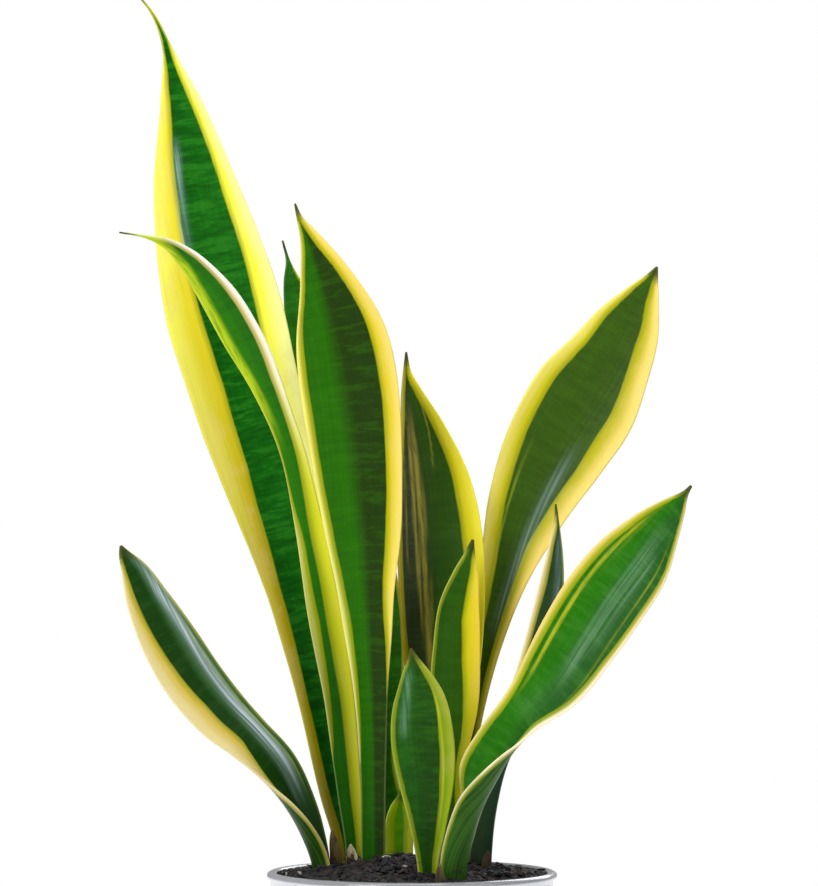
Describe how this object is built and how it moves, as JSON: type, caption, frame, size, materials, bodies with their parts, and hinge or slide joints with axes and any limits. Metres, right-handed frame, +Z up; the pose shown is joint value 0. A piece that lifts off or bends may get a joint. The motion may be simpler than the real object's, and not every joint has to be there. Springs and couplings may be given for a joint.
{
  "type": "potted snake plant",
  "caption": "Potted snake plant: stiff upright sword-shaped leaves, green with yellow margins, rising from dark potting mix in a plain round white pot.",
  "frame": {"origin": "centre of the pot's flat underside", "axes": "+Z up along the plant, +X to the right seen from the front, +Y to the back"},
  "size_m": [0.337, 0.1982, 0.6863],
  "materials": {
    "leaf": "satin",
    "sheath": "matte",
    "rhizome": "matte",
    "soil": "matte",
    "pot": "gloss"
  },
  "bodies": {
    "root": {"leaf_tall_left": "leaf", "leaf_curled_left": "leaf", "leaf_broad_centre": "leaf", "leaf_back_centre": "leaf", "leaf_striped_centre": "leaf", "leaf_inner_centre": "leaf", "leaf_short_front": "leaf", "leaf_tall_right": "leaf", "leaf_broad_right": "leaf", "leaf_slim_right": "leaf", "leaf_short_left": "leaf", "leaf_young_shoot": "leaf", "sheath_left": "sheath", "sheath_inner": "sheath", "sheath_right": "sheath", "sheath_front": "sheath", "rhizome": "rhizome", "soil": "soil", "pot": "pot"}
  },
  "joints": []
}
